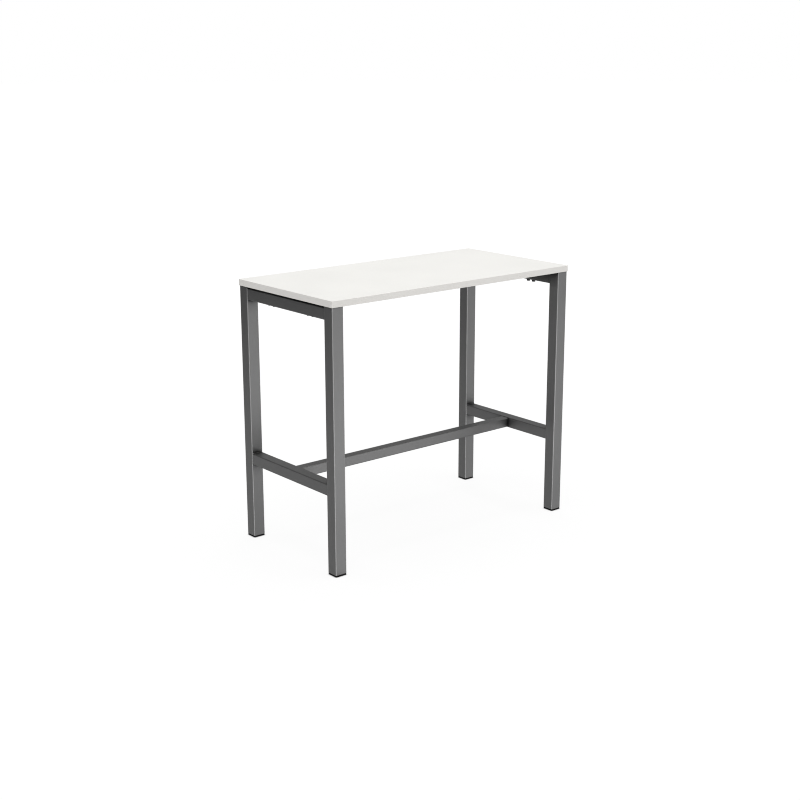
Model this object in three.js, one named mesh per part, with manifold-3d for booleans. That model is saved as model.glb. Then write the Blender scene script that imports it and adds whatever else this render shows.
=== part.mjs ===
// Standing meeting table: white banded board on two welded square-tube end frames,
// a footrest stretcher between them, and four levelling feet.
// Millimetres. +X runs along the table, -Y is the front long side, +Z is up.
// The origin is on the floor under the middle of the board.
import * as THREE from 'three';
import { mergeVertices } from 'three/addons/utils/BufferGeometryUtils.js';
import Module from 'manifold-3d';

const wasm = await Module();
wasm.setup();

// ---------------------------------------------------------------- driving dimensions
const TOP_LENGTH = 1200;        // board with its bands, along X
const TOP_WIDTH = 600;          // board with its bands, along Y
const TOP_THICK = 25;           // board thickness
const TABLE_HEIGHT = 1050;      // floor to the board's upper face
const BAND_THICK = 2;           // edge band
const GAP = 0.3;                // clearance between pieces that touch

const LEG_SIDE = 50;            // leg tube, square
const LEG_ROUND = 3.5;          // its outer corner radius
const TUBE_WALL = 2;            // wall of every tube
const LEG_INSET = 2;            // board edge to the leg's outer face
const RAIL_SIDE = 45;           // cross rail tube, square
const RAIL_ROUND = 3.5;
const LOWER_RAIL_TOP = 354;     // upper face of the lower cross rails
const TOP_RAIL_GAP = 6;         // between the top cross rails and the board
const BAR_SIDE = 40;            // footrest stretcher tube, square
const BAR_ROUND = 3.5;

const CAP_PLATE = 2.4;          // plate of the plug that closes the leg, flush with the leg top
const CAP_DEPTH = 12;           // its skirt below the plate
const PAD_THICK = 4.5;          // square foot pad
const FOOT_ROUND = 4.5;         // corner radius of pad and insert flange
const FLANGE_THICK = 1.8;       // flange of the insert under the leg
const INSERT_TOP = 38;          // upper end of the insert, above the floor
const STUD_RADIUS = 5;          // M10 levelling stud
const STUD_TOP = 46;            // upper end of the stud, foot screwed right in
const COLLAR_RADIUS = 9;
const COLLAR_THICK = 4;
const HEAD_RADIUS = 8.5;        // retaining head under the pad's floor
const SOCKET_FLATS = 5;         // hexagon socket in the stud's lower end

const BOLT_RADIUS = 4;          // M8 bolts that hold the board
const BOLT_FLANGE_RADIUS = 9;
const BOLT_FLANGE_THICK = 2;
const BOLT_HEX_FLATS = 13;
const BOLT_HEX_HEIGHT = 6.4;
const BOLT_X = 566;             // bolt line, a little inboard of the rail's middle
const BOLT_Y = [110, 140];      // each side of the middle
const BOLT_REACH = 15;          // into the board
const INSERT_NUT_RADIUS = 6;    // threaded insert in the board
const INSERT_NUT_LENGTH = 15.7;
const STRIP_WIDTH = 38;         // spacer strip on the flat of the top rail
const STRIP_SHORT = 1;          // how far it stops short of each end of the rail

const SPIGOT_LENGTH = 60;       // stub inside each end of the stretcher
const SPIGOT_WALL = 2.5;
const SCREW_RADIUS = 3;         // M6 screws under the stretcher
const SCREW_HEAD_RADIUS = 5.25;
const SCREW_HEAD_HEIGHT = 3.3;
const SCREW_FROM_END = [18, 42];// from the rail face

// ---------------------------------------------------------------- derived places
const boardUnder = TABLE_HEIGHT - TOP_THICK;
const legX = TOP_LENGTH / 2 - LEG_INSET - LEG_SIDE / 2;
const legY = TOP_WIDTH / 2 - LEG_INSET - LEG_SIDE / 2;
const legBottom = PAD_THICK + GAP + FLANGE_THICK + GAP;
const legTop = boardUnder - GAP;
const railLength = 2 * (legY - LEG_SIDE / 2 - GAP);
const topRailMid = boardUnder - TOP_RAIL_GAP - RAIL_SIDE / 2;
const lowerRailMid = LOWER_RAIL_TOP - RAIL_SIDE / 2;
const railInner = legX - RAIL_SIDE / 2;
const barLength = 2 * (railInner - GAP);
const barBottom = lowerRailMid - BAR_SIDE / 2;

// ---------------------------------------------------------------- geometry helpers
const HOLE_SEGMENTS = 12;

// Rounded square outline as points, counter-clockwise.
function roundedOutline(width, height, radius, steps = 3) {
  const points = [];
  const corners = [[1, 1, 0], [-1, 1, 1], [-1, -1, 2], [1, -1, 3]];
  for (const [sx, sy, quarter] of corners) {
    for (let i = 0; i <= steps; i++) {
      const a = (quarter + i / steps) * Math.PI / 2;
      points.push(new THREE.Vector2(
        sx * (width / 2 - radius) + radius * Math.cos(a),
        sy * (height / 2 - radius) + radius * Math.sin(a)));
    }
  }
  return points;
}

function polygon(sides, radius, turn = 0) {
  const points = [];
  for (let i = 0; i < sides; i++) {
    const a = turn + i / sides * 2 * Math.PI;
    points.push(new THREE.Vector2(radius * Math.cos(a), radius * Math.sin(a)));
  }
  return points;
}

// Keeps only positions, welds shared corners, drops empty triangles, faces out.
function tidy(geometry) {
  const g = geometry.clone();
  for (const name of Object.keys(g.attributes)) if (name !== 'position') g.deleteAttribute(name);
  const welded = mergeVertices(g, 1e-4);
  const p = welded.attributes.position.array;
  const kept = [];
  let volume = 0;
  for (let i = 0; i < welded.index.count; i += 3) {
    const [a, b, c] = [0, 1, 2].map((k) => welded.index.array[i + k]);
    if (a === b || b === c || c === a) continue;
    kept.push(a, b, c);
    const [A, B, C] = [a, b, c].map((k) => new THREE.Vector3().fromArray(p, 3 * k));
    volume += A.dot(B.cross(C)) / 6;
  }
  if (volume < 0) for (let i = 0; i < kept.length; i += 3) [kept[i + 1], kept[i + 2]] = [kept[i + 2], kept[i + 1]];
  welded.setIndex(kept);
  return welded;
}

// Straight prism of an outline from z = 0 up to height, with holes right through.
function prism(outline, height, holes = []) {
  const shape = new THREE.Shape(outline);
  for (const h of holes) shape.holes.push(new THREE.Path(h));
  return tidy(new THREE.ExtrudeGeometry(shape, { depth: height, bevelEnabled: false, steps: 1 }));
}

// Solid of revolution about Z from [radius, z] pairs, first and last on the axis.
function turned(profile, segments = HOLE_SEGMENTS) {
  const points = profile.map(([r, z]) => new THREE.Vector2(r, z));
  return tidy(new THREE.LatheGeometry(points, segments).rotateX(Math.PI / 2));
}

function solid(geometry) {
  const g = tidy(geometry);
  return new wasm.Manifold(new wasm.Mesh({
    numProp: 3,
    vertProperties: new Float32Array(g.attributes.position.array),
    triVerts: new Uint32Array(g.index.array),
  }));
}

function fromSolid(body) {
  const m = body.getMesh();
  const g = new THREE.BufferGeometry();
  g.setAttribute('position', new THREE.BufferAttribute(new Float32Array(m.vertProperties), 3));
  g.setIndex(new THREE.BufferAttribute(new Uint32Array(m.triVerts), 1));
  return g;
}

const cut = (geometry, ...tools) => fromSolid(tools.reduce((s, t) => s.subtract(solid(t)), solid(geometry)));
const join = (geometry, ...more) => fromSolid(more.reduce((s, t) => s.add(solid(t)), solid(geometry)));

// Upright drill of the given radius, centred at x, y, from z0 to z1.
const drill = (radius, x, y, z0, z1) => prism(polygon(HOLE_SEGMENTS, radius), z1 - z0).translate(x, y, z0);

// Square tube along Z from z = 0.
function tube(side, round, wall, length) {
  const inner = Math.max(round - wall, 0.5);
  return prism(roundedOutline(side, side, round), length,
    [roundedOutline(side - 2 * wall, side - 2 * wall, inner)]);
}
const tubeAlongY = (side, round, wall, length) =>
  tube(side, round, wall, length).translate(0, 0, -length / 2).rotateX(-Math.PI / 2);
const tubeAlongX = (side, round, wall, length) =>
  tube(side, round, wall, length).translate(0, 0, -length / 2).rotateY(Math.PI / 2);

// ---------------------------------------------------------------- finishes
const finish = {
  board: () => new THREE.MeshStandardMaterial({ color: 0xf3f2ef, roughness: 0.45, metalness: 0 }),
  band: () => new THREE.MeshStandardMaterial({ color: 0xefeeeb, roughness: 0.5, metalness: 0 }),
  frame: () => new THREE.MeshStandardMaterial({ color: 0x6f6f6f, roughness: 0.42, metalness: 0.8 }),
  plastic: () => new THREE.MeshStandardMaterial({ color: 0x121212, roughness: 0.6, metalness: 0 }),
  fastener: () => new THREE.MeshStandardMaterial({ color: 0x1b1b1c, roughness: 0.45, metalness: 0.6 }),
  steel: () => new THREE.MeshStandardMaterial({ color: 0xb6b8ba, roughness: 0.35, metalness: 0.9 }),
};

const table = new THREE.Group();
function place(parent, name, geometry, material, x = 0, y = 0, z = 0) {
  const mesh = new THREE.Mesh(geometry, material);
  mesh.name = name;
  mesh.position.set(x, y, z);
  parent.add(mesh);
  return mesh;
}

// ---------------------------------------------------------------- board and bands
const boltPlaces = [];
for (const sx of [-1, 1]) for (const sy of [-1, 1]) for (const y of BOLT_Y) boltPlaces.push([sx, sy, y]);

const top = new THREE.Group();
top.position.set(0, 0, boardUnder);
table.add(top);

const coreLength = TOP_LENGTH - 2 * BAND_THICK - 2 * GAP;
const coreWidth = TOP_WIDTH - 2 * BAND_THICK - 2 * GAP;
const boardBlank = new THREE.BoxGeometry(coreLength, coreWidth, TOP_THICK).translate(0, 0, TOP_THICK / 2);
const boardHoles = boltPlaces.map(([sx, sy, y]) =>
  drill(INSERT_NUT_RADIUS + GAP + 0.2, sx * BOLT_X, sy * y, -1, INSERT_NUT_LENGTH + 2 * GAP + 0.4));
place(top, 'table_top_board', cut(boardBlank, ...boardHoles), finish.board());

const longBand = () => prism(roundedOutline(TOP_LENGTH, BAND_THICK, 0.6, 2), TOP_THICK);
const shortBand = () => prism(roundedOutline(BAND_THICK, coreWidth, 0.3, 1), TOP_THICK);
place(top, 'edge_band_front', longBand(), finish.band(), 0, -(TOP_WIDTH - BAND_THICK) / 2);
place(top, 'edge_band_back', longBand(), finish.band(), 0, (TOP_WIDTH - BAND_THICK) / 2);
place(top, 'edge_band_left', shortBand(), finish.band(), -(TOP_LENGTH - BAND_THICK) / 2);
place(top, 'edge_band_right', shortBand(), finish.band(), (TOP_LENGTH - BAND_THICK) / 2);

// ---------------------------------------------------------------- one levelling foot, about its own axis
const insertSide = LEG_SIDE - 2 * TUBE_WALL - 2 * GAP;
function footInsert() {
  const flangeBottom = PAD_THICK + GAP;
  const flange = prism(roundedOutline(LEG_SIDE, LEG_SIDE, FOOT_ROUND), FLANGE_THICK).translate(0, 0, flangeBottom);
  const core = prism(roundedOutline(insertSide - 5, insertSide - 5, 1.5, 2), INSERT_TOP - flangeBottom - 0.5)
    .translate(0, 0, flangeBottom + 0.5);
  const ribs = [];
  for (let z = flangeBottom + 5; z < INSERT_TOP - 2; z += 10) {
    ribs.push(prism(roundedOutline(insertSide, insertSide, 1.2, 2), 1.6).translate(0, 0, z));
  }
  const body = join(flange, core, ...ribs);
  return cut(body,
    drill(COLLAR_RADIUS + 0.5, 0, 0, flangeBottom - 1, PAD_THICK + GAP + COLLAR_THICK + 0.4),
    drill(STUD_RADIUS + 0.35, 0, 0, flangeBottom, INSERT_TOP + 1));
}
function footPad() {
  return cut(prism(roundedOutline(LEG_SIDE, LEG_SIDE, FOOT_ROUND), PAD_THICK),
    drill(HEAD_RADIUS + 0.5, 0, 0, -1, 2.5),
    drill(STUD_RADIUS + 0.35, 0, 0, 0, PAD_THICK + 1));
}
function footStud() {
  const collarBottom = PAD_THICK + GAP;
  const body = turned([
    [0, 0.6], [HEAD_RADIUS, 0.6], [HEAD_RADIUS, 2.2], [STUD_RADIUS, 2.2], [STUD_RADIUS, collarBottom],
    [COLLAR_RADIUS, collarBottom], [COLLAR_RADIUS, collarBottom + COLLAR_THICK], [STUD_RADIUS, collarBottom + COLLAR_THICK],
    [STUD_RADIUS, STUD_TOP - 1], [STUD_RADIUS - 1, STUD_TOP], [0, STUD_TOP],
  ]);
  const socket = prism(polygon(6, SOCKET_FLATS / Math.sqrt(3)), 4).translate(0, 0, 0);
  return cut(body, socket);
}
function legCap() {
  const plate = prism(roundedOutline(insertSide, insertSide, 1.2, 2), CAP_PLATE);
  const skirt = prism(roundedOutline(insertSide, insertSide, 1.2, 2), CAP_DEPTH, [roundedOutline(insertSide - 5, insertSide - 5, 1, 2)])
    .translate(0, 0, GAP - CAP_DEPTH);
  return join(plate, skirt);
}

// ---------------------------------------------------------------- end frames with their feet
for (const [side, sx] of [['left', -1], ['right', 1]]) {
  const frame = new THREE.Group();
  frame.position.set(sx * legX, 0, 0);
  table.add(frame);

  for (const [end, sy] of [['front', -1], ['back', 1]]) {
    const corner = new THREE.Group();
    corner.position.set(0, sy * legY, 0);
    frame.add(corner);
    const tag = `${end}_${side}`;
    place(corner, `leg_${tag}`, tube(LEG_SIDE, LEG_ROUND, TUBE_WALL, legTop - legBottom), finish.frame(), 0, 0, legBottom);
    place(corner, `leg_cap_${tag}`, legCap(), finish.plastic(), 0, 0, legTop - CAP_PLATE);
    place(corner, `foot_insert_${tag}`, footInsert(), finish.plastic());
    place(corner, `foot_pad_${tag}`, footPad(), finish.plastic());
    place(corner, `foot_stud_${tag}`, footStud(), finish.steel());
  }

  // cross rails welded between the legs; the top one is drilled for the board's bolts
  const boltHoles = [];
  for (const sy of [-1, 1]) for (const y of BOLT_Y) {
    boltHoles.push(drill(BOLT_RADIUS + 0.5, sx * (BOLT_X - legX), sy * y, -RAIL_SIDE, RAIL_SIDE));
  }
  place(frame, `top_rail_${side}`, cut(tubeAlongY(RAIL_SIDE, RAIL_ROUND, TUBE_WALL, railLength), ...boltHoles), finish.frame(), 0, 0, topRailMid);
  place(frame, `lower_rail_${side}`, tubeAlongY(RAIL_SIDE, RAIL_ROUND, TUBE_WALL, railLength), finish.frame(), 0, 0, lowerRailMid);

  // spacer strip between the top rail and the board
  const stripHoles = [];
  for (const sy of [-1, 1]) for (const y of BOLT_Y) {
    stripHoles.push(polygon(HOLE_SEGMENTS, BOLT_RADIUS + 0.5).map((p) => new THREE.Vector2(p.x + sx * (BOLT_X - legX), p.y + sy * y)));
  }
  const strip = prism(roundedOutline(STRIP_WIDTH, railLength - 2 * STRIP_SHORT, 2, 2), TOP_RAIL_GAP - 2 * GAP, stripHoles);
  place(frame, `spacer_strip_${side}`, strip, finish.plastic(), 0, 0, boardUnder - TOP_RAIL_GAP + GAP);
}

// ---------------------------------------------------------------- bolts into the board, with their threaded inserts
function boardBolt() {
  const reach = boardUnder + BOLT_REACH - (topRailMid - RAIL_SIDE / 2 - GAP);
  const shank = turned([[0, -1], [BOLT_RADIUS, -1], [BOLT_RADIUS, reach - 1], [BOLT_RADIUS - 1, reach], [0, reach]]);
  const flange = turned([[0, -BOLT_FLANGE_THICK], [BOLT_FLANGE_RADIUS, -BOLT_FLANGE_THICK], [BOLT_FLANGE_RADIUS, -0.6], [BOLT_FLANGE_RADIUS - 1, 0], [0, 0]]);
  const hex = prism(polygon(6, BOLT_HEX_FLATS / Math.sqrt(3)), BOLT_HEX_HEIGHT + 1)
    .translate(0, 0, -BOLT_FLANGE_THICK - BOLT_HEX_HEIGHT);
  return join(flange, shank, hex);
}
const threadedInsert = () => prism(polygon(HOLE_SEGMENTS, INSERT_NUT_RADIUS), INSERT_NUT_LENGTH, [polygon(HOLE_SEGMENTS, BOLT_RADIUS + 0.35)]);

for (const [sx, sy, y] of boltPlaces) {
  const tag = `${sy < 0 ? 'front' : 'back'}_${sx < 0 ? 'left' : 'right'}_${y === BOLT_Y[0] ? 'a' : 'b'}`;
  place(table, `board_bolt_${tag}`, boardBolt(), finish.fastener(), sx * BOLT_X, sy * y, topRailMid - RAIL_SIDE / 2 - GAP);
  place(table, `threaded_insert_${tag}`, threadedInsert(), finish.steel(), sx * BOLT_X, sy * y, boardUnder + GAP);
}

// ---------------------------------------------------------------- footrest stretcher on its two spigots
const screwPlaces = [];
for (const sx of [-1, 1]) for (const d of SCREW_FROM_END) screwPlaces.push(sx * (railInner - d));
const barHoles = screwPlaces.map((x) => drill(SCREW_RADIUS + 0.35, x, 0, -BAR_SIDE, 0));
place(table, 'footrest_stretcher', cut(tubeAlongX(BAR_SIDE, BAR_ROUND, TUBE_WALL, barLength), ...barHoles), finish.frame(), 0, 0, lowerRailMid);

const spigotSide = BAR_SIDE - 2 * TUBE_WALL - 2 * GAP;
for (const [side, sx] of [['left', -1], ['right', 1]]) {
  const middle = sx * (railInner - GAP - SPIGOT_LENGTH / 2);
  const holes = SCREW_FROM_END.map((d) => drill(SCREW_RADIUS + 0.35, sx * (railInner - d) - middle, 0, -BAR_SIDE, 0));
  place(table, `stretcher_spigot_${side}`,
    cut(tubeAlongX(spigotSide, 1.2, SPIGOT_WALL, SPIGOT_LENGTH), ...holes), finish.frame(), middle, 0, lowerRailMid);
  SCREW_FROM_END.forEach((d, i) => {
    const body = turned([
      [0, -SCREW_HEAD_HEIGHT], [SCREW_HEAD_RADIUS * 0.55, -SCREW_HEAD_HEIGHT], [SCREW_HEAD_RADIUS * 0.85, -SCREW_HEAD_HEIGHT * 0.7],
      [SCREW_HEAD_RADIUS, -SCREW_HEAD_HEIGHT * 0.25], [SCREW_HEAD_RADIUS, 0], [SCREW_RADIUS, 0], [SCREW_RADIUS, 11], [SCREW_RADIUS - 0.8, 12], [0, 12],
    ]);
    const socket = prism(polygon(6, 4 / Math.sqrt(3)), 2.2).translate(0, 0, -SCREW_HEAD_HEIGHT - 0.2);
    place(table, `stretcher_screw_${side}_${i === 0 ? 'a' : 'b'}`, cut(body, socket), finish.fastener(),
      sx * (railInner - d), 0, barBottom - GAP);
  });
}

export default table;
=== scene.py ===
# Standing meeting table: the looks of every piece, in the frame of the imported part.
# Shapes are written in millimetres and turned into metres when a mesh is made.
import math

import bmesh
import bpy
from mathutils import Matrix, Vector


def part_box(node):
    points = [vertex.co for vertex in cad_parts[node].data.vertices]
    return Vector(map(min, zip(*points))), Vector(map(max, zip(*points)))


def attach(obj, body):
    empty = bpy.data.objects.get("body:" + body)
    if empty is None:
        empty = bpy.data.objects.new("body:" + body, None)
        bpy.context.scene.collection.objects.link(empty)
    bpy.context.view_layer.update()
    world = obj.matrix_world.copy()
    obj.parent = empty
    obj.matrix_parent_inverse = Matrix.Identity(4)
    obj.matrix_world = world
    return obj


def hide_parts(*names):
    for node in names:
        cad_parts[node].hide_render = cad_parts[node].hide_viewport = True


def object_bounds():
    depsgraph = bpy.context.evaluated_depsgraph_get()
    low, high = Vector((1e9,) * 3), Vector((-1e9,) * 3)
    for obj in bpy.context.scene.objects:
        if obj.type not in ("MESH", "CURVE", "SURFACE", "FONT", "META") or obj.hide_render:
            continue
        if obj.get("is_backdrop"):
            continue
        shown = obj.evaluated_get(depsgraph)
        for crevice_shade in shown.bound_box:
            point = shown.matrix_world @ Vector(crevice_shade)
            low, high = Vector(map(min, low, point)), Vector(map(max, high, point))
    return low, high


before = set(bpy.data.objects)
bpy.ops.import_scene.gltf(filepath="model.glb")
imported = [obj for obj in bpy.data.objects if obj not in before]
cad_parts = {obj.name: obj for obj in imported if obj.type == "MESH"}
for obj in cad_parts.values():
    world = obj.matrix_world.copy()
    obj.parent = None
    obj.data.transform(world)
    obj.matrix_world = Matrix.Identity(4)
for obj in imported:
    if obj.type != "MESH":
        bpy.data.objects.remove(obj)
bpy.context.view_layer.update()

MM = 0.001
scene = bpy.context.scene
FRAME = "table_frame"
TAGS = ("front_left", "back_left", "front_right", "back_right")


def box_mm(node):
    """A node's lowest and highest corner in millimetres."""
    lo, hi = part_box(node)
    return [c / MM for c in lo], [c / MM for c in hi]


# ------------------------------------------------------------------ camera
CAMERA_AT = (-3.4183, -4.0939, 1.9633)
CAMERA_AZIMUTH, CAMERA_ELEVATION, CAMERA_ROLL = -39.52, 15.11, -0.12
FOCAL_PX = 1357.08                    # in pixels of an image 800 wide


def add_camera():
    a, e, r = (math.radians(v) for v in (CAMERA_AZIMUTH, CAMERA_ELEVATION, CAMERA_ROLL))
    back = Vector((math.sin(a) * math.cos(e), -math.cos(a) * math.cos(e), math.sin(e)))
    right = (-back).cross(Vector((0, 0, 1))).normalized()
    up = right.cross(-back).normalized()
    x = math.cos(r) * right + math.sin(r) * up
    y = -math.sin(r) * right + math.cos(r) * up
    data = bpy.data.cameras.new("camera")
    data.sensor_fit = "HORIZONTAL"
    data.sensor_width = 36.0
    data.lens = FOCAL_PX / 800.0 * 36.0
    data.clip_start, data.clip_end = 0.05, 500.0
    cam = bpy.data.objects.new("camera", data)
    m = Matrix((x, y, back)).transposed().to_4x4()
    m.translation = Vector(CAMERA_AT)
    cam.matrix_world = m
    scene.collection.objects.link(cam)
    scene.camera = cam


add_camera()


# ------------------------------------------------------------------ node helpers
class Tree:
    """A material with a Principled shader and short calls for the nodes that feed it."""

    def __init__(self, name):
        self.material = bpy.data.materials.new(name)
        self.material.use_nodes = True
        self.nt = self.material.node_tree
        self.nt.nodes.clear()
        out = self.new("ShaderNodeOutputMaterial")
        self.shader = self.new("ShaderNodeBsdfPrincipled")
        self.link(self.shader.outputs[0], out.inputs[0])
        self.place = self.new("ShaderNodeTexCoord").outputs["Object"]

    def new(self, kind, **values):
        n = self.nt.nodes.new(kind)
        for k, v in values.items():
            setattr(n, k, v)
        return n

    def link(self, a, b):
        self.nt.links.new(a, b)

    def feed(self, socket, value):
        if isinstance(value, bpy.types.NodeSocket):
            self.link(value, socket)
        else:
            socket.default_value = value

    def noise(self, scale, detail=2.0, rough=0.5, stretch=(1, 1, 1), shift=(0, 0, 0)):
        m = self.new("ShaderNodeMapping")
        m.inputs["Scale"].default_value = stretch
        m.inputs["Location"].default_value = shift
        self.link(self.place, m.inputs["Vector"])
        n = self.new("ShaderNodeTexNoise")
        n.inputs["Scale"].default_value = scale
        n.inputs["Detail"].default_value = detail
        n.inputs["Roughness"].default_value = rough
        self.link(m.outputs[0], n.inputs["Vector"])
        return n.outputs[0]

    def cells(self, scale, feature="F1"):
        n = self.new("ShaderNodeTexVoronoi", feature=feature)
        n.inputs["Scale"].default_value = scale
        self.link(self.place, n.inputs["Vector"])
        return n.outputs["Distance"]

    def math(self, op, a, b=0.0, clamp=False):
        n = self.new("ShaderNodeMath", operation=op, use_clamp=clamp)
        self.feed(n.inputs[0], a)
        self.feed(n.inputs[1], b)
        return n.outputs[0]

    def span(self, value, lo, hi, to_lo, to_hi):
        n = self.new("ShaderNodeMapRange")
        n.clamp = True
        self.feed(n.inputs["Value"], value)
        for k, v in zip(("From Min", "From Max", "To Min", "To Max"), (lo, hi, to_lo, to_hi)):
            n.inputs[k].default_value = v
        return n.outputs[0]

    def ramp(self, value, stops):
        n = self.new("ShaderNodeValToRGB")
        self.feed(n.inputs[0], value)
        e = n.color_ramp.elements
        while len(e) < len(stops):
            e.new(0.5)
        for element, (at, colour) in zip(e, stops):
            element.position = at
            element.color = (*colour, 1.0)
        return n.outputs[0]

    def mix(self, factor, a, b, blend="MIX"):
        n = self.new("ShaderNodeMix", data_type="RGBA", blend_type=blend)
        self.feed(n.inputs[0], factor)
        for socket, v in ((n.inputs[6], a), (n.inputs[7], b)):
            self.feed(socket, (*v, 1.0) if isinstance(v, tuple) else v)
        return n.outputs[2]

    def closeness(self, distance):
        """1 in the open, falling towards 0 in a tight corner."""
        n = self.new("ShaderNodeAmbientOcclusion", samples=8)
        n.inputs["Distance"].default_value = distance
        return n.outputs["AO"]

    def height(self):
        n = self.new("ShaderNodeSeparateXYZ")
        self.link(self.place, n.inputs[0])
        return n.outputs["Z"]

    def upright_highlight_mask(self):
        """Mask of the painted highlight: 1 in the middle of a rounding that runs up and down, 0 on the flats and on
        level roundings.
        """
        n = self.new("ShaderNodeSeparateXYZ")
        self.link(self.new("ShaderNodeNewGeometry").outputs["Normal"], n.inputs[0])
        both = self.math("MULTIPLY", self.math("ABSOLUTE", n.outputs["X"], 0.0), self.math("ABSOLUTE", n.outputs["Y"], 0.0))
        return self.span(both, 0.05, 0.40, 0.0, 1.0)

    def attribute(self, name):
        return self.new("ShaderNodeAttribute", attribute_name=name).outputs["Fac"]

    def bump(self, height, strength, distance, below=None):
        n = self.new("ShaderNodeBump")
        n.inputs["Strength"].default_value = strength
        n.inputs["Distance"].default_value = distance
        self.link(height, n.inputs["Height"])
        if below is not None:
            self.link(below, n.inputs["Normal"])
        return n.outputs[0]

    def set(self, **values):
        for k, v in values.items():
            self.feed(self.shader.inputs[k.replace("_", " ")], v)
        return self.material


def scaled(colour, f):
    return tuple(min(1.0, c * f) for c in colour)


# ------------------------------------------------------------------ materials
GRAPHITE = (0.162, 0.162, 0.162)
# How much lighter the painted highlight makes the upright roundings.
UPRIGHT_HIGHLIGHT = 1.70
GRAPHITE_METALLIC = 0.80
GRAPHITE_ROUGH = (0.37, 0.47)
BOARD = (0.804, 0.796, 0.768)
BAND = (0.845, 0.827, 0.796)


def powder_coat():
    """Graphite powder coat: orange peel a couple of millimetres wide, fine flake, thinner film on the arrises, a
    painted highlight on the roundings that run up and down, and painted shade from ambient occlusion in corners, nooks
    and under the board.
    """
    t = Tree("graphite_powder_coat")
    broad = t.noise(7.0, 3.0, 0.55)
    peel = t.noise(430.0, 2.0, 0.5)
    flake = t.noise(2900.0, 1.0, 0.6)
    arris = t.attribute("arris")
    tone = t.ramp(t.math("ADD", t.math("MULTIPLY", broad, 0.55), t.math("MULTIPLY", flake, 0.45)),
                  [(0.30, scaled(GRAPHITE, 0.90)), (0.52, GRAPHITE), (0.74, scaled(GRAPHITE, 1.12))])
    worn = t.math("MULTIPLY", arris, t.span(t.noise(60.0, 4.0, 0.6), 0.45, 0.70, 0.0, 0.10))
    colour = t.mix(worn, tone, scaled(GRAPHITE, 1.7))
    # Painted highlight: roundings that run up and down are lightened towards a paler graphite, standing in for a
    # light's reflection on them.
    colour = t.mix(t.upright_highlight_mask(), colour, scaled(GRAPHITE, UPRIGHT_HIGHLIGHT))
    # Painted shade: ambient occlusion darkens the colour in tight corners, in wider nooks, and above about 0.97 m under
    # the board; it is kept off the lowest part of the frame by the floor.
    crevice_shade = t.span(t.closeness(0.022), 0.45, 0.92, 0.22, 1.0)
    crevice_shade = t.math("MAXIMUM", crevice_shade, t.span(t.height(), 0.030, 0.055, 1.0, 0.0))
    nook_shade = t.span(t.closeness(0.060), 0.50, 0.95, 0.35, 1.0)
    nook_shade = t.math("MAXIMUM", nook_shade, t.span(t.height(), 0.060, 0.110, 1.0, 0.0))
    eaves_shade = t.span(t.closeness(0.150), 0.50, 0.90, 0.25, 1.0)
    eaves_shade = t.math("MAXIMUM", eaves_shade, t.span(t.height(), 0.962, 0.980, 1.0, 0.0))
    painted_shade = t.math("MULTIPLY", t.math("MULTIPLY", crevice_shade, nook_shade), eaves_shade)
    colour = t.mix(1.0, colour, painted_shade, "MULTIPLY")
    rough = t.span(t.math("ADD", t.math("MULTIPLY", broad, 0.6), t.math("MULTIPLY", peel, 0.4)),
                   0.3, 0.7, *GRAPHITE_ROUGH)
    n1 = t.bump(peel, 0.22, 0.00012)
    n2 = t.bump(flake, 0.14, 0.00003, n1)
    return t.set(Base_Color=colour, Metallic=GRAPHITE_METALLIC, Roughness=rough, Normal=n2)


def melamine():
    """White melamine face: pearl grain under a millimetre, faint cloudiness, satin."""
    t = Tree("white_melamine")
    cloud = t.noise(5.0, 3.0, 0.5)
    pearl = t.noise(1300.0, 2.0, 0.55)
    fleck = t.noise(3600.0, 1.0, 0.5)
    tone = t.ramp(t.math("ADD", t.math("MULTIPLY", cloud, 0.5), t.math("MULTIPLY", fleck, 0.5)),
                  [(0.30, scaled(BOARD, 0.982)), (0.5, BOARD), (0.70, scaled(BOARD, 1.012))])
    rough = t.span(t.math("ADD", t.math("MULTIPLY", cloud, 0.5), t.math("MULTIPLY", pearl, 0.5)),
                   0.3, 0.7, 0.36, 0.46)
    n1 = t.bump(pearl, 0.10, 0.00005)
    return t.set(Base_Color=tone, Metallic=0.0, Roughness=rough, Normal=n1)


def edge_plastic():
    """White plastic edge band: fine calender lines along the edge, a little softer than the face."""
    t = Tree("white_edge_band")
    cloud = t.noise(9.0, 2.0, 0.5)
    lines = t.noise(900.0, 2.0, 0.5, stretch=(0.03, 0.03, 1.6))
    grain = t.noise(1900.0, 2.0, 0.5)
    tone = t.ramp(t.math("ADD", t.math("MULTIPLY", cloud, 0.6), t.math("MULTIPLY", lines, 0.4)),
                  [(0.30, scaled(BAND, 0.98)), (0.5, BAND), (0.70, scaled(BAND, 1.012))])
    rough = t.span(t.math("ADD", t.math("MULTIPLY", lines, 0.6), t.math("MULTIPLY", grain, 0.4)),
                   0.3, 0.7, 0.38, 0.50)
    n1 = t.bump(lines, 0.12, 0.00004)
    n2 = t.bump(grain, 0.08, 0.00003, n1)
    return t.set(Base_Color=tone, Metallic=0.0, Roughness=rough, Normal=n2)


def moulded_plastic():
    """Black moulded plastic: spark-eroded grain, slightly grey where it is rubbed on its arrises."""
    t = Tree("black_moulded_plastic")
    cloud = t.noise(60.0, 3.0, 0.5)
    grain = t.noise(2600.0, 3.0, 0.6)
    arris = t.attribute("arris")
    tone = t.ramp(cloud, [(0.30, (0.0042, 0.0042, 0.0044)), (0.55, (0.0056, 0.0056, 0.0058)), (0.75, (0.0080, 0.0080, 0.0083))])
    rub = t.math("MULTIPLY", arris, t.span(t.noise(240.0, 3.0, 0.6), 0.48, 0.72, 0.0, 0.22))
    colour = t.mix(rub, tone, (0.028, 0.028, 0.029))
    rough = t.span(grain, 0.3, 0.7, 0.54, 0.70)
    n1 = t.bump(grain, 0.22, 0.00004)
    return t.set(Base_Color=colour, Metallic=0.0, Roughness=rough, Specular_IOR_Level=0.10, Normal=n1)


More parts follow.
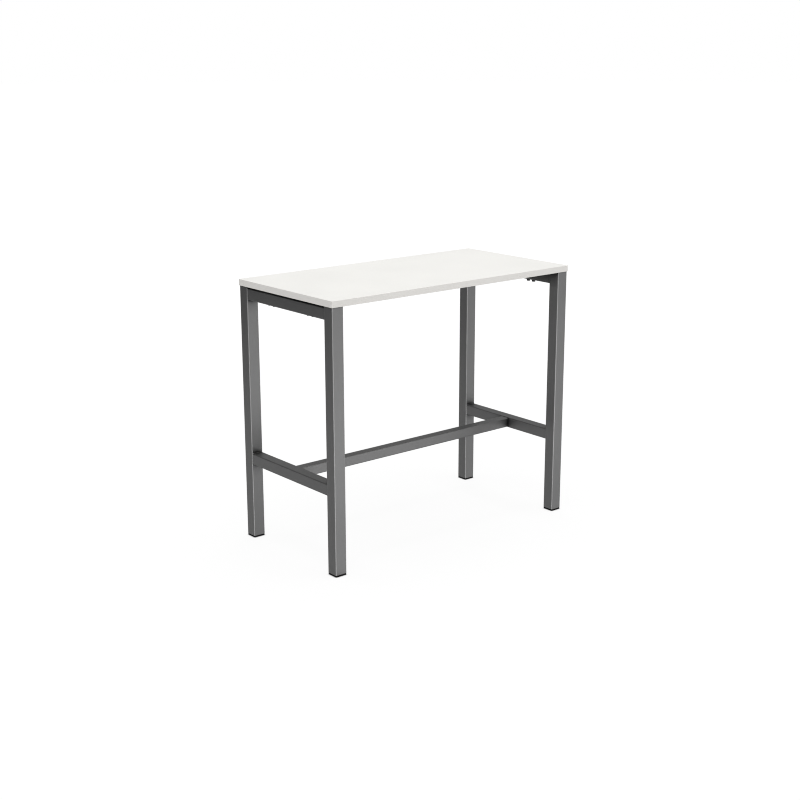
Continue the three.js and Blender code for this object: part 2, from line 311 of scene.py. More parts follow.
def black_oxide():
    """Black oxide steel: blue-black with brown patches, faint turning marks, oil-satin."""
    t = Tree("black_oxide_steel")
    patch = t.noise(180.0, 3.0, 0.6)
    scratch = t.noise(1500.0, 2.0, 0.6, stretch=(1.0, 1.0, 6.0))
    tone = t.ramp(patch, [(0.30, (0.016, 0.016, 0.018)), (0.55, (0.024, 0.024, 0.025)), (0.78, (0.036, 0.033, 0.030))])
    rough = t.span(scratch, 0.3, 0.7, 0.32, 0.50)
    n1 = t.bump(scratch, 0.14, 0.00003)
    return t.set(Base_Color=tone, Metallic=0.85, Roughness=rough, Normal=n1)


def zinc_plate():
    """Bright zinc plate: bluish with warm clouds, fine drawing marks."""
    t = Tree("zinc_plated_steel")
    cloud = t.noise(120.0, 3.0, 0.55)
    marks = t.noise(1800.0, 2.0, 0.6, stretch=(1.0, 1.0, 5.0))
    tone = t.ramp(cloud, [(0.30, (0.47, 0.50, 0.55)), (0.55, (0.56, 0.57, 0.58)), (0.76, (0.61, 0.59, 0.52))])
    rough = t.span(marks, 0.3, 0.7, 0.24, 0.40)
    n1 = t.bump(marks, 0.12, 0.00003)
    return t.set(Base_Color=tone, Metallic=1.0, Roughness=rough, Normal=n1)


GRAPHITE_COAT = powder_coat()
WHITE_FACE = melamine()
WHITE_BAND = edge_plastic()
BLACK_PLASTIC = moulded_plastic()
BLACK_STEEL = black_oxide()
ZINC = zinc_plate()


# ------------------------------------------------------------------ shape helpers, millimetres
def outline(x0, x1, y0, y1, radii, steps=8, hold=0.6, fill=0):
    """Rounded rectangle, counter-clockwise, as (x, y, arris). Each flat has a holding point by each arc, so that
    it shades flat, and fill points between them. radii start at the corner x1, y1."""
    middles = [(x1 - radii[0], y1 - radii[0]), (x0 + radii[1], y1 - radii[1]),
               (x0 + radii[2], y0 + radii[2]), (x1 - radii[3], y0 + radii[3])]

    def on_arc(k, i):
        a = (k + i / steps) * math.pi / 2
        return middles[k][0] + radii[k] * math.cos(a), middles[k][1] + radii[k] * math.sin(a)

    points = []
    for k in range(4):
        for i in range(steps + 1):
            x, y = on_arc(k, i)
            points.append((x, y, math.sin(math.pi * i / steps)))
        ax, ay = on_arc(k, steps)
        bx, by = on_arc((k + 1) % 4, 0)
        length = math.hypot(bx - ax, by - ay)
        near = min(hold, 0.3 * length) / length
        for i in range(fill + 2):
            s = near + (1 - 2 * near) * i / (fill + 1)
            points.append((ax + (bx - ax) * s, ay + (by - ay) * s, 0.0))
    return points


def square(side, radius, inset=0.0, **more):
    h = side / 2 - inset
    r = max(radius - inset, 0.05)
    return outline(-h, h, -h, h, (r,) * 4, **more)


def at(points, z, arris=None):
    return [(x, y, z, m if arris is None else arris) for x, y, m in points]


def polar(angles, radius, z, arris=0.0):
    """A ring with one point at each angle; radius is a number or a function of the angle."""
    r = radius if callable(radius) else (lambda a: radius)
    return [(r(a) * math.cos(a), r(a) * math.sin(a), z, arris) for a in angles]


def even(count):
    return [2 * math.pi * i / count for i in range(count)]


def hexagon(flats):
    return lambda a: flats / 2 / math.cos(a % (math.pi / 3) - math.pi / 6)


class Shell:
    """Points and faces of one mesh, built from rings that are joined in order."""

    def __init__(self):
        self.points, self.faces = [], []

    def rings(self, rings, closed=False, first=False, last=False, put=None):
        base, n, m = len(self.points), len(rings[0]), len(rings)
        for ring in rings:
            for x, y, z, arris in ring:
                self.points.append((*(put(x, y, z) if put else (x, y, z)), arris))
        for j in range(m if closed else m - 1):
            a, b = base + j * n, base + (j + 1) % m * n
            for i in range(n):
                k = (i + 1) % n
                self.faces.append((a + i, a + k, b + k, b + i))
        if first:
            self.faces.append(tuple(range(base + n - 1, base - 1, -1)))
        if last:
            self.faces.append(tuple(range(base + (m - 1) * n, base + m * n)))
        return self


def as_mesh(name, shell, angle):
    mesh = bpy.data.meshes.new(name)
    mesh.from_pydata([(x * MM, y * MM, z * MM) for x, y, z, _ in shell.points], [], shell.faces)
    layer = mesh.attributes.new("arris", "FLOAT", "POINT")
    layer.data.foreach_set("value", [p[3] for p in shell.points])
    bm = bmesh.new()
    bm.from_mesh(mesh)
    bmesh.ops.recalc_face_normals(bm, faces=bm.faces)
    bm.to_mesh(mesh)
    bm.free()
    shade(mesh, angle)
    return mesh


def shade(mesh, angle):
    mesh.polygons.foreach_set("use_smooth", [True] * len(mesh.polygons))
    mesh.set_sharp_from_angle(angle=math.radians(angle))
    mesh.update()


def drill(obj, holes, angle):
    """Round holes through a mesh: (radius, x, y, z0, z1), upright, in millimetres."""
    cutters = []
    for i, (radius, x, y, z0, z1) in enumerate(holes):
        ring = [a + 0.061 for a in even(40)]
        s = Shell().rings([polar(ring, radius, z0), polar(ring, radius, z1)], first=True, last=True,
                          put=lambda a, b, c: (a + x, b + y, c))
        c = bpy.data.objects.new(f"cutter_{i}", as_mesh(f"cutter_{i}", s, angle))
        scene.collection.objects.link(c)
        cutters.append(c)
        m = obj.modifiers.new(f"hole_{i}", "BOOLEAN")
        m.operation, m.solver, m.object = "DIFFERENCE", "EXACT", c
    bpy.context.view_layer.update()
    cut = bpy.data.meshes.new_from_object(obj.evaluated_get(bpy.context.evaluated_depsgraph_get()))
    obj.modifiers.clear()
    old, obj.data = obj.data, cut
    bpy.data.meshes.remove(old)
    cut.name = obj.name
    for c in cutters:
        data = c.data
        bpy.data.objects.remove(c)
        bpy.data.meshes.remove(data)
    shade(cut, angle)


def piece(name, shell, material, slot, body, *nodes, angle=34.0, holes=()):
    obj = bpy.data.objects.new(name, as_mesh(name, shell, angle))
    scene.collection.objects.link(obj)
    if holes:
        drill(obj, holes, angle)
    obj.data.materials.clear()
    obj.data.materials.append(material)
    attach(obj, body)
    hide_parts(*nodes)
    return obj


def rounding(radius, steps=3):
    """(inset, rise) pairs from a flat end round into the side."""
    return [(radius * (1 - math.sin(i / steps * math.pi / 2)), radius * (1 - math.cos(i / steps * math.pi / 2)))
            for i in range(steps + 1)]


# ------------------------------------------------------------------ tubes and their welds
LEG_ROUND = RAIL_ROUND = BAR_ROUND = 3.5
WALL = 2.0
CUT_EDGE = 0.35


def tube_rings(side, radius, length):
    """Square tube from z = 0 up, wall and all, with the saw cut's edges broken."""
    rings = [at(square(side, radius, i), z) for i, z in rounding(CUT_EDGE)]
    rings.append(at(square(side, radius), CUT_EDGE + 0.9))
    rings.append(at(square(side, radius), length - CUT_EDGE - 0.9))
    rings += [at(square(side, radius, i), length - z) for i, z in reversed(rounding(CUT_EDGE))]
    rings += [at(square(side, radius, WALL), z) for z in (length, length - 0.9, 0.9, 0.0)]
    return rings


def weld_rings(side, radius, width):
    """Fillet weld round the end of a rail at z = 0, against a leg whose face is at z = -0.3. The toe follows the
    leg's rounded corners, and the bead has the slow ripple of a hand weld under its coat."""
    path = outline(-side / 2, side / 2, -side / 2, side / 2, (radius,) * 4, steps=6, hold=0.4, fill=34)
    leg_flat = 25.0 - LEG_ROUND
    rings, run = [], 0.0
    for i, (u, v, _) in enumerate(path):
        pu, pv, _ = path[i - 1]
        nu_, nv_, _ = path[(i + 1) % len(path)]
        run += math.hypot(u - pu, v - pv) if i else 0.0
        tu, tv = nu_ - pu, nv_ - pv
        size = math.hypot(tu, tv)
        ou, ov = tv / size, -tu / size
        wave = 0.5 + 0.5 * math.sin(2 * math.pi * run / 2.3 + 0.8 * math.sin(run * 0.31))
        w = width * (0.94 + 0.05 * wave + 0.04 * math.sin(run * 0.17 + side))
        reach = w - (w - 0.95) * abs(ou) ** 3
        past = max(0.0, abs(u + ou * reach) - leg_flat)
        recess = LEG_ROUND - math.sqrt(max(LEG_ROUND ** 2 - past ** 2, 0.0)) if past < LEG_ROUND else LEG_ROUND
        foot = -0.3 - recess + 0.02
        section = [(-0.3, w)]
        for k in range(6):
            s = k / 5
            swell = (0.10 + 0.06 * wave) * w * math.sin(math.pi * s)
            section.append((reach * s + 0.7 * swell, w + (foot - w) * s + 0.7 * swell))
        section += [(reach, foot - 0.3), (-0.3, foot - 0.3)]
        rings.append([(u + ou * d, v + ov * d, z, 0.4) for d, z in section])
    return rings


def rail(name, node, holes=()):
    """A cross rail along Y with its two end welds."""
    lo, hi = box_mm(node)
    cx, cz, y0, length = (lo[0] + hi[0]) / 2, (lo[2] + hi[2]) / 2, lo[1], hi[1] - lo[1]
    side = hi[0] - lo[0]
    s = Shell().rings(tube_rings(side, RAIL_ROUND, length), closed=True, put=lambda x, y, z: (cx + x, y0 + z, cz + y))
    obj = piece(name, s, GRAPHITE_COAT, "graphite_frame", FRAME, node, holes=holes)
    beads = Shell()
    beads.rings(weld_rings(side, RAIL_ROUND, 1.7), closed=True, put=lambda x, y, z: (cx + x, y0 + z, cz + y))
    beads.rings(weld_rings(side, RAIL_ROUND, 1.7), closed=True, put=lambda x, y, z: (cx + x, y0 + length - z, cz + y))
    add_shell(obj, beads)
    return obj


def add_shell(obj, shell):
    """Joins a further closed shell into a piece."""
    extra = as_mesh("extra", shell, 50.0)
    bm = bmesh.new()
    bm.from_mesh(obj.data)
    bm.from_mesh(extra)
    bm.to_mesh(obj.data)
    bm.free()
    bpy.data.meshes.remove(extra)
    obj.data.update()


def leg(tag):
    lo, hi = box_mm(f"leg_{tag}")
    cx, cy = (lo[0] + hi[0]) / 2, (lo[1] + hi[1]) / 2
    s = Shell().rings(tube_rings(hi[0] - lo[0], LEG_ROUND, hi[2] - lo[2]), closed=True,
                      put=lambda x, y, z: (cx + x, cy + y, lo[2] + z))
    piece(f"tube_leg_{tag}", s, GRAPHITE_COAT, "graphite_frame", FRAME, f"leg_{tag}")


for tag in TAGS:
    leg(tag)

bolt_places = {}
for end in ("front", "back"):
    for side_name in ("left", "right"):
        for k in "ab":
            lo, hi = box_mm(f"board_bolt_{end}_{side_name}_{k}")
            bolt_places[f"{end}_{side_name}_{k}"] = ((lo[0] + hi[0]) / 2, (lo[1] + hi[1]) / 2, lo[2], hi[2])

for side_name in ("left", "right"):
    lo, hi = box_mm(f"top_rail_{side_name}")
    through = [(4.5, x, y, lo[2] - 5, hi[2] + 5) for k, (x, y, _, _) in bolt_places.items() if side_name in k]
    rail(f"tube_top_rail_{side_name}", f"top_rail_{side_name}", through)
    rail(f"tube_lower_rail_{side_name}", f"lower_rail_{side_name}")


def stretcher():
    lo, hi = box_mm("footrest_stretcher")
    cy, cz, length = (lo[1] + hi[1]) / 2, (lo[2] + hi[2]) / 2, hi[0] - lo[0]
    s = Shell().rings(tube_rings(hi[1] - lo[1], BAR_ROUND, length + 0.4), closed=True,
                      put=lambda x, y, z: (lo[0] - 0.2 + z, cy + x, cz + y))
    holes = []
    for side_name in ("left", "right"):
        for k in "ab":
            a, b = box_mm(f"stretcher_screw_{side_name}_{k}")
            holes.append((3.35, (a[0] + b[0]) / 2, (a[1] + b[1]) / 2, lo[2] - 5, lo[2] + 10))
    piece("tube_stretcher", s, GRAPHITE_COAT, "graphite_frame", FRAME, "footrest_stretcher", holes=holes)


stretcher()


# ------------------------------------------------------------------ board and edge bands
def board():
    lo, hi = box_mm("table_top_board")
    x0, x1, y0, y1 = lo[0] - 0.2, hi[0] + 0.2, lo[1] - 0.2, hi[1] + 0.2

    def ring(inset, z):
        return at(outline(x0 + inset, x1 - inset, y0 + inset, y1 - inset, (0.3,) * 4, steps=2, hold=3.0), z, 0.0)

    z0, z1 = lo[2], hi[2]
    s = Shell().rings([ring(4.0, z0), ring(0.12, z0), ring(0.0, z0 + 0.12), ring(0.0, z0 + 1.0), ring(0.0, z1 - 1.0),
                       ring(0.0, z1 - 0.12), ring(0.12, z1), ring(4.0, z1)], first=True, last=True)
    holes = [(6.5, x, y, z0 - 3, z0 + 16.7) for x, y, _, _ in bolt_places.values()]
    piece("melamine_board", s, WHITE_FACE, "white_board", FRAME, "table_top_board", holes=holes)


def band(name, node, outer):
    """An edge band with its outer arrises rounded and its glue side square. outer names the free sides."""
    lo, hi = box_mm(node)
    radius = 1.1
    grow = 0.2 if node.endswith(("left", "right")) else 0.0
    x0, x1, y0, y1 = lo[0], hi[0], lo[1] - grow, hi[1] + grow
    free = {k: k in outer for k in ("x0", "x1", "y0", "y1")}
    corners = [("x1", "y1"), ("x0", "y1"), ("x0", "y0"), ("x1", "y0")]

    def ring(inset, z, arris):
        i = {k: inset if free[k] else inset * 0.1 for k in free}
        radii = [max(0.9 - inset * 0.4, 0.3) if free[a] and free[b] else 0.08 for a, b in corners]
        return at(outline(x0 + i["x0"], x1 - i["x1"], y0 + i["y0"], y1 - i["y1"], radii, steps=5, hold=0.5), z, arris)

    turn = rounding(radius, 5)
    rings = [ring(i, lo[2] + z, math.sin(math.pi * n / 5)) for n, (i, z) in enumerate(turn)]
    rings += [ring(0.0, lo[2] + radius + 0.6, 0.0), ring(0.0, hi[2] - radius - 0.6, 0.0)]
    rings += [ring(i, hi[2] - z, math.sin(math.pi * n / 5)) for n, (i, z) in reversed(list(enumerate(turn)))]
    piece(name, Shell().rings(rings, first=True, last=True), WHITE_BAND, "white_band", FRAME, node, angle=40.0)


board()
band("band_front", "edge_band_front", ("y0", "x0", "x1"))
band("band_back", "edge_band_back", ("y1", "x0", "x1"))
band("band_left", "edge_band_left", ("x0",))
band("band_right", "edge_band_right", ("x1",))


# ------------------------------------------------------------------ leg caps and spacer strips
def leg_cap(tag):
    lo, hi = box_mm(f"leg_cap_{tag}")
    cx, cy = (lo[0] + hi[0]) / 2, (lo[1] + hi[1]) / 2
    under = hi[2] - 2.4
    more = {"fill": 3}
    rings = [at(square(40.4, 1.5, **more), under + 0.4), at(square(40.4, 1.5, **more), lo[2] + 0.3),
             at(square(41.0, 1.5, **more), lo[2]), at(square(44.2, 1.4, **more), lo[2]),
             at(square(45.4, 1.6, **more), lo[2] + 1.4)]
    rings += [at(square(45.4, 1.6, i, **more), hi[2] - z) for i, z in reversed(rounding(0.3))]
    rings += [at(square(45.4, 1.6, 0.9, **more), hi[2])]
    piece(f"cap_{tag}", Shell().rings(rings, first=True, last=True, put=lambda x, y, z: (cx + x, cy + y, z)),
          BLACK_PLASTIC, "black_plastic", FRAME, f"leg_cap_{tag}")


def spacer(side_name):
    """Black extruded strip between the top rail and the board, with a groove along each side. It is a real spacer part,
    and its black along the whole gap also stands in for the shade in that gap.
    """
    lo, hi = box_mm(f"spacer_strip_{side_name}")

    def ring(inset, z):
        r = max(2.0 - inset, 0.5)
        return at(outline(lo[0] + inset, hi[0] - inset, lo[1] + inset, hi[1] - inset, (r,) * 4, steps=6), z)

    tall = hi[2] - lo[2]
    rings = [ring(2.0, lo[2])] + [ring(i, lo[2] + z) for i, z in rounding(0.4)]
    rings += [ring(i, lo[2] + tall * f) for i, f in ((0.0, 0.30), (0.12, 0.36), (0.6, 0.41), (0.6, 0.59), (0.12, 0.64), (0.0, 0.70))]
    rings += [ring(i, hi[2] - z) for i, z in reversed(rounding(0.4))] + [ring(2.0, hi[2])]
    holes = [(4.5, x, y, lo[2] - 3, hi[2] + 3) for k, (x, y, _, _) in bolt_places.items() if side_name in k]
    piece(f"strip_{side_name}", Shell().rings(rings, first=True, last=True), BLACK_PLASTIC, "black_plastic", FRAME,
          f"spacer_strip_{side_name}", holes=holes)


for tag in TAGS:
    leg_cap(tag)
for side_name in ("left", "right"):
    spacer(side_name)


# ------------------------------------------------------------------ levelling feet
def foot(tag):
    lo, hi = box_mm(f"foot_pad_{tag}")
    cx, cy = (lo[0] + hi[0]) / 2, (lo[1] + hi[1]) / 2
    side, round_, top = hi[0] - lo[0], 4.5, hi[2]
    more = {"steps": 6, "fill": 5}
    angles = [math.atan2(y, x) for x, y, _ in square(side, round_, **more)]

    def here(x, y, z):
        return cx + x, cy + y, z

    def sq(inset, z, width=side, radius=round_, arris=None):
        return at(square(width, radius, inset, **more), z, arris)

    def ci(radius, z, arris=0.0):
        return polar(angles, radius, z, arris)

    # pad: drafted sides, rounded arrises, hollow sole with a rim and a ring round the stud's head
    pad = [sq(0.55, 0.0), sq(0.22, 0.12), sq(0.08, 0.40), sq(0.04, 1.2), sq(0.0, top - 0.9), sq(0.10, top - 0.35),
           sq(0.40, top), sq(1.2, top), ci(6.0, top), ci(5.35, top - 0.4), ci(5.35, 2.5), ci(9.0, 2.5), ci(9.0, 0.35),
           ci(9.3, 0.0), ci(13.0, 0.0), ci(13.4, 0.8), sq(0.0, 0.8, 39.0, 4.0, 0.0), sq(0.0, 0.0, 40.0, 4.2, 0.0)]
    piece(f"pad_shoe_{tag}", Shell().rings(pad, closed=True, put=here), BLACK_PLASTIC, "black_plastic", f"pad_{tag}",
          f"foot_pad_{tag}")

    # insert: flange under the tube, barbed body inside it
    a, b = box_mm(f"foot_insert_{tag}")
    low, rim, end = a[2], a[2] + 1.8, b[2]
    ins = [sq(0.45, low), sq(0.12, low + 0.25), sq(0.0, low + 0.6), sq(0.0, rim - 0.5), sq(0.10, rim - 0.2), sq(0.35, rim),
           sq(0.0, rim, 40.4, 1.6)]
    z = low + 5.0
    while z < end - 2.0:
        ins += [sq(0.0, z, 40.4, 1.6), sq(0.0, z + 0.15, 45.4, 1.6), sq(0.0, z + 0.7, 45.4, 1.6), sq(0.0, z + 1.6, 40.4, 1.6)]
        z += 10.0
    ins += [sq(0.0, end - 0.8, 40.4, 1.6), sq(0.8, end, 40.4, 1.6), ci(6.0, end), ci(5.35, end - 0.5), ci(5.35, low + 4.4),
            ci(9.5, low + 4.4), ci(9.5, low + 0.25), ci(9.75, low)]
    piece(f"insert_{tag}", Shell().rings(ins, closed=True, put=here), BLACK_PLASTIC, "black_plastic", FRAME,
          f"foot_insert_{tag}")

    # stud: retaining head with a hexagon socket, collar, cut M10 thread
    a, b = box_mm(f"foot_stud_{tag}")
    ring = even(48)
    six = hexagon(5.0)
    head, collar, tip = a[2], top + 0.3, b[2]
    rows = [polar(ring, 0.6, 4.4), polar(ring, six, 3.9), polar(ring, six, head + 0.25), polar(ring, 3.25, head),
            polar(ring, 7.9, head), polar(ring, 8.5, head + 0.4), polar(ring, 8.5, 1.95), polar(ring, 8.2, 2.2),
            polar(ring, 4.95, 2.2), polar(ring, 4.95, collar), polar(ring, 8.5, collar), polar(ring, 9.0, collar + 0.4),
            polar(ring, 9.0, collar + 3.6), polar(ring, 8.5, collar + 4.0), polar(ring, 4.3, collar + 4.0)]
    pitch, start, stop = 1.5, collar + 4.6, tip - 0.9
    count = int((stop - start) / 0.15)
    for n in range(count + 1):
        z = start + (stop - start) * n / count
        fade = min(1.0, n / 8, (count - n) / 8)

        def thread(t, z=z, fade=fade):
            p = ((z - start) / pitch - t / (2 * math.pi)) % 1.0
            rise = min(1.0, max(0.0, 1.6 * (1 - abs(2 * p - 1)) - 0.25))
            return 4.12 + 0.86 * rise * fade

        rows.append(polar(ring, thread, z))
    rows += [polar(ring, 4.05, tip - 0.6), polar(ring, 3.6, tip)]
    piece(f"stud_screw_{tag}", Shell().rings(rows, first=True, last=True, put=here), ZINC, "zinc_steel", f"stud_{tag}",
          f"foot_stud_{tag}", angle=42.0)


for tag in TAGS:
    foot(tag)


# ------------------------------------------------------------------ bolts and screws
def board_bolt(key):
    x, y, z0, z1 = bolt_places[key]
    ring = even(72)
    six = hexagon(13.0)
    seat = z0 + 8.4

    def trimmed(limit):
        return lambda a: min(six(a), limit)

    rows = [polar(ring, 4.4, z0 + 0.45), polar(ring, 5.0, z0 + 0.05), polar(ring, 5.2, z0), polar(ring, 6.05, z0, 0.6),
            polar(ring, trimmed(6.6), z0 + 0.30), polar(ring, trimmed(7.05), z0 + 0.58), polar(ring, trimmed(7.55), z0 + 0.88),
            polar(ring, six, z0 + 1.5), polar(ring, six, z0 + 5.6), polar(ring, lambda a: max(six(a), 7.0), z0 + 6.0),
            polar(ring, 7.62, z0 + 6.35), polar(ring, 8.45, z0 + 6.95), polar(ring, 8.9, z0 + 7.4), polar(ring, 9.0, z0 + 7.75),
            polar(ring, 8.95, seat - 0.2), polar(ring, 8.6, seat), polar(ring, 4.0, seat), polar(ring, 4.0, seat + 0.8),
            polar(ring, 4.0, z1 - 1.2), polar(ring, 3.2, z1)]
    piece(f"hex_bolt_{key}", Shell().rings(rows, first=True, last=True, put=lambda a, b, c: (x + a, y + b, c)),
          BLACK_STEEL, "black_fastener", FRAME, f"board_bolt_{key}", angle=28.0)


def stretcher_screw(key):
    lo, hi = box_mm(f"stretcher_screw_{key}")
    x, y, z0, z1 = (lo[0] + hi[0]) / 2, (lo[1] + hi[1]) / 2, lo[2], hi[2]
    ring = even(48)
    six = hexagon(4.0)
    rows = [polar(ring, 0.5, z0 + 2.3), polar(ring, six, z0 + 2.0), polar(ring, six, z0 + 0.2), polar(ring, 2.62, z0, 0.3),
            polar(ring, 2.95, z0 + 0.02, 0.6)]
    for k in range(1, 7):
        a = k / 6 * math.pi / 2
        rows.append(polar(ring, 2.95 + 2.3 * math.sin(a), z0 + 0.02 + 2.6 * (1 - math.cos(a)), 0.3))
    rows += [polar(ring, 5.25, z0 + 3.05), polar(ring, 5.05, z0 + 3.3), polar(ring, 3.0, z0 + 3.3), polar(ring, 3.0, z1 - 0.9),
             polar(ring, 2.3, z1)]
    piece(f"button_screw_{key}", Shell().rings(rows, first=True, last=True, put=lambda a, b, c: (x + a, y + b, c)),
          BLACK_STEEL, "black_fastener", FRAME, f"stretcher_screw_{key}", angle=30.0)


for key in bolt_places:
    board_bolt(key)
for key in ("left_a", "left_b", "right_a", "right_b"):
    stretcher_screw(key)

# shapes that are right as they are, hidden inside the board and the stretcher
for name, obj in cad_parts.items():
    finish = ZINC if name.startswith("threaded_insert_") else GRAPHITE_COAT if name.startswith("stretcher_spigot_") else None
    if finish:
        for s in obj.material_slots:
            s.material = finish


# ------------------------------------------------------------------ floor, backdrop and light
FLOOR_GLOW = 0.914
FLOOR_PAINT = 0.10
FLOOR_BOUNCE = 0.90


def stage_paint(name, colour=0.0, glow=0.0, sheer=False, far_glow=0.0):
    """Stage paint: a glow, and over it a pale coat with a faint cloudiness, clear from below. A sheer one is a glow
    that adds to what lies behind it. With far_glow the glow evens out to it a few metres away, and within a few
    millimetres of what stands on it the glow is darkened by ambient occlusion, a painted contact shadow."""
    m = bpy.data.materials.new(name)
    m.use_nodes = True
    m.cycles.emission_sampling = "NONE"
    nt = m.node_tree
    nt.nodes.clear()

    def node(kind):
        return nt.nodes.new(kind)

    out, light = node("ShaderNodeOutputMaterial"), node("ShaderNodeEmission")
    light.inputs["Strength"].default_value = glow
    if far_glow:
        place, away, rise = node("ShaderNodeTexCoord"), node("ShaderNodeVectorMath"), node("ShaderNodeMapRange")
        # Painted contact shadow: ambient occlusion darkens the glow next to what stands on the floor.
        open_, painted_contact_shadow, both = node("ShaderNodeAmbientOcclusion"), node("ShaderNodeMapRange"), node("ShaderNodeMath")
        away.operation, rise.interpolation_type, both.operation = "LENGTH", "SMOOTHSTEP", "MULTIPLY"
        open_.samples, open_.inputs["Distance"].default_value = 8, 0.010
        for n, numbers in ((rise, (1.2, 5.0, glow, far_glow)), (painted_contact_shadow, (0.5, 0.92, 0.55, 1.0))):
            for k, v in zip(("From Min", "From Max", "To Min", "To Max"), numbers):
                n.inputs[k].default_value = v
        for x, y in ((place.outputs["Object"], away.inputs[0]), (away.outputs["Value"], rise.inputs["Value"]),
                     (open_.outputs["AO"], painted_contact_shadow.inputs["Value"]), (rise.outputs[0], both.inputs[0]),
                     (painted_contact_shadow.outputs[0], both.inputs[1]), (both.outputs[0], light.inputs["Strength"])):
            nt.links.new(x, y)
    if sheer:
        veil, clear = node("ShaderNodeAddShader"), node("ShaderNodeBsdfTransparent")
        nt.links.new(light.outputs[0], veil.inputs[0])
        nt.links.new(clear.outputs[0], veil.inputs[1])
        nt.links.new(veil.outputs[0], out.inputs[0])
        return m
    if not colour:
        nt.links.new(light.outputs[0], out.inputs[0])
        return m
    coat, cloud, ramp, both = node("ShaderNodeBsdfDiffuse"), node("ShaderNodeTexNoise"), node("ShaderNodeValToRGB"), node("ShaderNodeAddShader")
    cloud.inputs["Scale"].default_value = 6.0
    ramp.color_ramp.elements[0].color = (colour * 0.99, colour * 0.99, colour * 0.99, 1)
    ramp.color_ramp.elements[1].color = (colour, colour, colour, 1)
    clear, side, mix = node("ShaderNodeBsdfTransparent"), node("ShaderNodeNewGeometry"), node("ShaderNodeMixShader")
    for x, y in ((cloud.outputs[0], ramp.inputs[0]), (ramp.outputs[0], coat.inputs["Color"]), (coat.outputs[0], both.inputs[0]),
                 (light.outputs[0], both.inputs[1]), (side.outputs["Backfacing"], mix.inputs[0]), (both.outputs[0], mix.inputs[1]),
                 (clear.outputs[0], mix.inputs[2]), (mix.outputs[0], out.inputs[0])):
        nt.links.new(x, y)
    return m


def stage_mesh(name, points, faces, material, seen_by):
    mesh = bpy.data.meshes.new(name)
    mesh.from_pydata(points, [], faces)
    mesh.materials.append(material)
    obj = bpy.data.objects.new(name, mesh)
    scene.collection.objects.link(obj)
    for k in ("camera", "diffuse", "glossy", "transmission", "volume_scatter", "shadow"):
        setattr(obj, f"visible_{k}", k in seen_by)
    obj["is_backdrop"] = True
    return obj


def floor():
    """A large pale floor that glows a little, as a lit white table does, and under it a sheet that throws a part of
    that light back up."""
    for name, z, paint, seen_by in (
            ("studio_floor", -0.0002, stage_paint("floor_paint", FLOOR_PAINT, FLOOR_GLOW, far_glow=1.0), ("camera", "shadow")),
            ("studio_bounce", -0.0004, stage_paint("bounce_glow", 0.0, FLOOR_BOUNCE), ("diffuse", "shadow"))):
        ring = [(54.0 * math.cos(a), 54.0 * math.sin(a), z) for a in even(96)]
        stage_mesh(name, ring, [tuple(range(96))], paint, seen_by)


def backdrop():
    """A white drum far behind everything, closed at the top, seen by the camera only."""
    n, radius = 64, 55.0
    low = [(radius * math.cos(a), radius * math.sin(a), -40.0) for a in even(n)]
    high = [(x, y, 60.0) for x, y, _ in low]
    faces = [(i, n + i, n + (i + 1) % n, (i + 1) % n) for i in range(n)] + [tuple(range(n, 2 * n))]
    stage_mesh("studio_backdrop", low + high, faces, stage_paint("backdrop_glow", 0.0, 1.0), ("camera",))


def card(name, inner, outer, bearings, glow):
    """A reflector card, seen in reflections only: a sheet from the ring inner = (radius, height) to the ring outer,
    between two bearings in degrees from +X."""
    n = 16
    a = [math.radians(bearings[0] + (bearings[1] - bearings[0]) * i / n) for i in range(n + 1)]
    points = [(r * math.cos(t), r * math.sin(t), z) for r, z in (inner, outer) for t in a]
    faces = [(i, i + 1, n + 2 + i, n + 1 + i) for i in range(n)]
    return stage_mesh(name, points, faces, stage_paint(name + "_glow", 0.0, glow, True), ("glossy",))


SKY_BASE = 0.08
# (azimuth of the direction the light comes from, in degrees from +X; elevation; sharpness; strength)
SKY_LOBES = ((-45.0, 20.0, 5.0, 0.38), (-135.0, 20.0, 5.0, 0.72), (0.0, 20.0, 5.0, 0.15), (180.0, 20.0, 5.0, 0.12),
             (50.0, 12.0, 12.0, 0.33))


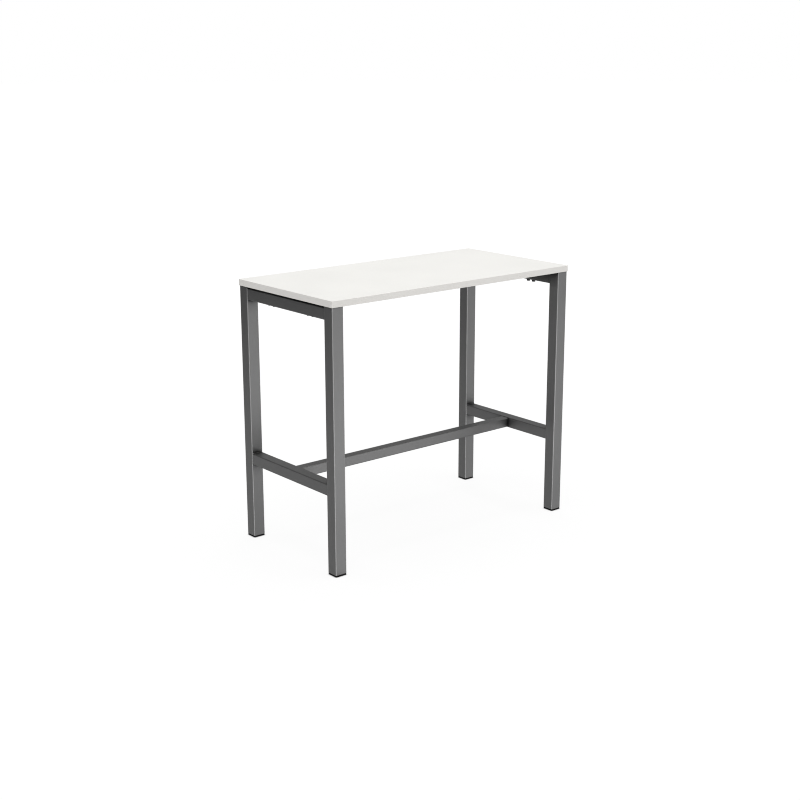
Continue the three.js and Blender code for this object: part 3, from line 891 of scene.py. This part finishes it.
def sky():
    world = bpy.data.worlds.new("studio_sky")
    scene.world = world
    world.use_nodes = True
    nt = world.node_tree
    nt.nodes.clear()

    def node(kind, **values):
        n = nt.nodes.new(kind)
        for k, v in values.items():
            setattr(n, k, v)
        return n

    def calc(op, a, b):
        n = node("ShaderNodeMath", operation=op)
        for socket, v in zip(n.inputs, (a, b)):
            if isinstance(v, bpy.types.NodeSocket):
                nt.links.new(v, socket)
            else:
                socket.default_value = v
        return n.outputs[0]

    way = node("ShaderNodeTexCoord").outputs["Generated"]

    def toward(v):
        n = node("ShaderNodeVectorMath", operation="DOT_PRODUCT")
        nt.links.new(way, n.inputs[0])
        n.inputs[1].default_value = v
        return calc("MAXIMUM", n.outputs["Value"], 0.0)

    total = SKY_BASE
    for azimuth, elevation, sharp, strength in SKY_LOBES:
        a, e = math.radians(azimuth), math.radians(elevation)
        lobe = toward((math.cos(a) * math.cos(e), math.sin(a) * math.cos(e), math.sin(e)))
        total = calc("ADD", total, calc("MULTIPLY", calc("POWER", lobe, sharp), strength))
    total = calc("MULTIPLY", total, calc("GREATER_THAN", toward((0, 0, 1)), 0.0))
    glow = node("ShaderNodeBackground")
    glow.inputs["Color"].default_value = (1, 1, 1, 1)
    nt.links.new(total, glow.inputs["Strength"])
    nt.links.new(glow.outputs[0], node("ShaderNodeOutputWorld").inputs[0])


def softbox(name, place, target, width, height, power):
    data = bpy.data.lights.new(name, "AREA")
    data.shape, data.size, data.size_y, data.energy = "RECTANGLE", width, height, power
    obj = bpy.data.objects.new(name, data)
    obj.location = place
    obj.rotation_euler = (Vector(target) - Vector(place)).to_track_quat("-Z", "Y").to_euler()
    scene.collection.objects.link(obj)
    return obj


floor()
backdrop()
sky()
softbox("overhead", (0.1, 0.0, 6.0), (0, 0, 0.6), 7.0, 6.0, 388.0)
card("card_floor", (0.01, 0.0), (3.5, 0.0), (0.0, 360.0), 0.306)
card("card_floor_front", (1.0, 0.0), (3.5, 0.0), (-135.0, -45.0), 1.087)
card("card_floor_near", (0.45, 0.0), (1.0, 0.0), (-150.0, -60.0), 0.538)
card("card_front", (3.5, 0.0), (3.5, 4.0), (-112.5, -22.5), 0.686)
card("card_low_front", (8.0, -0.3), (8.0, -4.5), (-75.0, -25.0), 1.06)
card("card_low_left", (8.0, -0.3), (8.0, -4.5), (105.0, 155.0), 0.395)
card("card_low_corner", (8.0, -0.3), (8.0, -4.5), (-178.0, -102.0), 2.0)

scene.view_settings.view_transform = "Standard"
scene.view_settings.look = "None"
scene.view_settings.exposure = 0.0
scene.view_settings.gamma = 1.0
scene.cycles.filter_width = 1.1
scene.cycles.use_denoising = True
scene.cycles.denoiser = "OPENIMAGEDENOISE"
scene.cycles.max_bounces = 8
scene.cycles.diffuse_bounces = 5
scene.cycles.glossy_bounces = 4

bpy.context.view_layer.update()
lo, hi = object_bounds()
